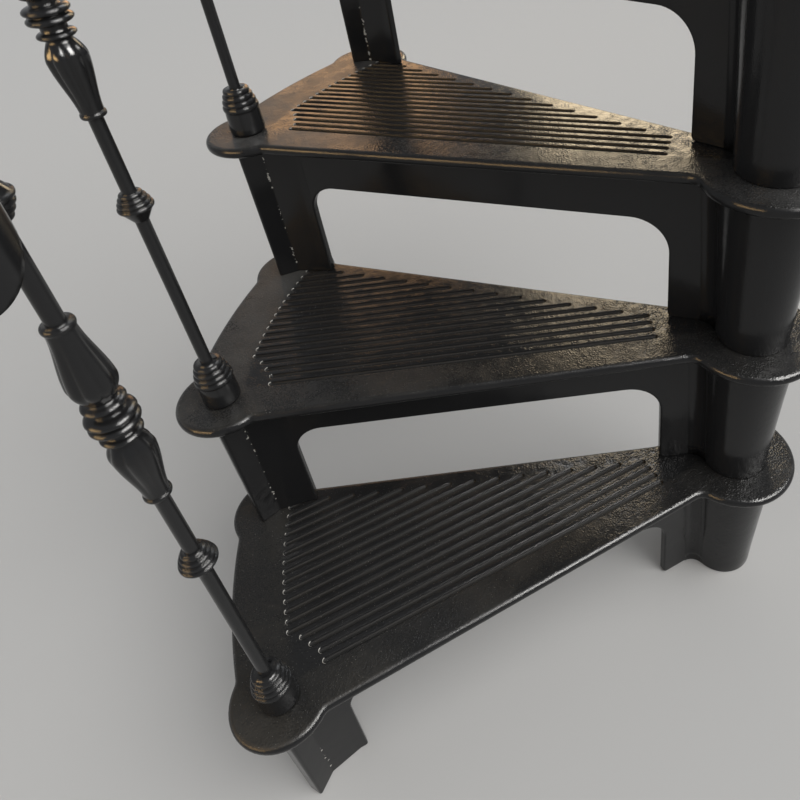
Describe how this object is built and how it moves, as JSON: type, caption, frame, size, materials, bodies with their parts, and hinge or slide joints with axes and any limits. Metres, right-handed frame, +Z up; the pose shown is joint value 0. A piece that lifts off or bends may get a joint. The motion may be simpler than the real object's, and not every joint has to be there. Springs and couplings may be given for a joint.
{
  "type": "spiral staircase",
  "caption": "Cast-iron spiral staircase: grooved wedge treads stacked on a round newel, open risers with outer legs, turned balusters and a helical handrail, gloss black paint.",
  "frame": {"origin": "centre of the newel's foot on the floor", "axes": "+Z up along the newel, +X along the grooves of the first tread from the newel outwards, +Y towards the first tread's nosing"},
  "size_m": [1.1221, 0.8681, 2.2392],
  "materials": {
    "painted_cast_iron": "gloss black paint",
    "painted_steel": "gloss black paint"
  },
  "bodies": {
    "root": {"baluster_1": "painted_cast_iron", "baluster_2": "painted_cast_iron", "baluster_3": "painted_cast_iron", "baluster_4": "painted_cast_iron", "baluster_5": "painted_cast_iron", "baluster_6": "painted_cast_iron", "handrail_1": "painted_steel", "handrail_2": "painted_steel", "handrail_3": "painted_steel", "handrail_4": "painted_steel", "handrail_5": "painted_steel", "handrail_6": "painted_steel", "newel_tube": "painted_steel", "tread_1": "painted_cast_iron", "tread_2": "painted_cast_iron", "tread_3": "painted_cast_iron", "tread_4": "painted_cast_iron", "tread_5": "painted_cast_iron", "tread_6": "painted_cast_iron"}
  },
  "joints": []
}
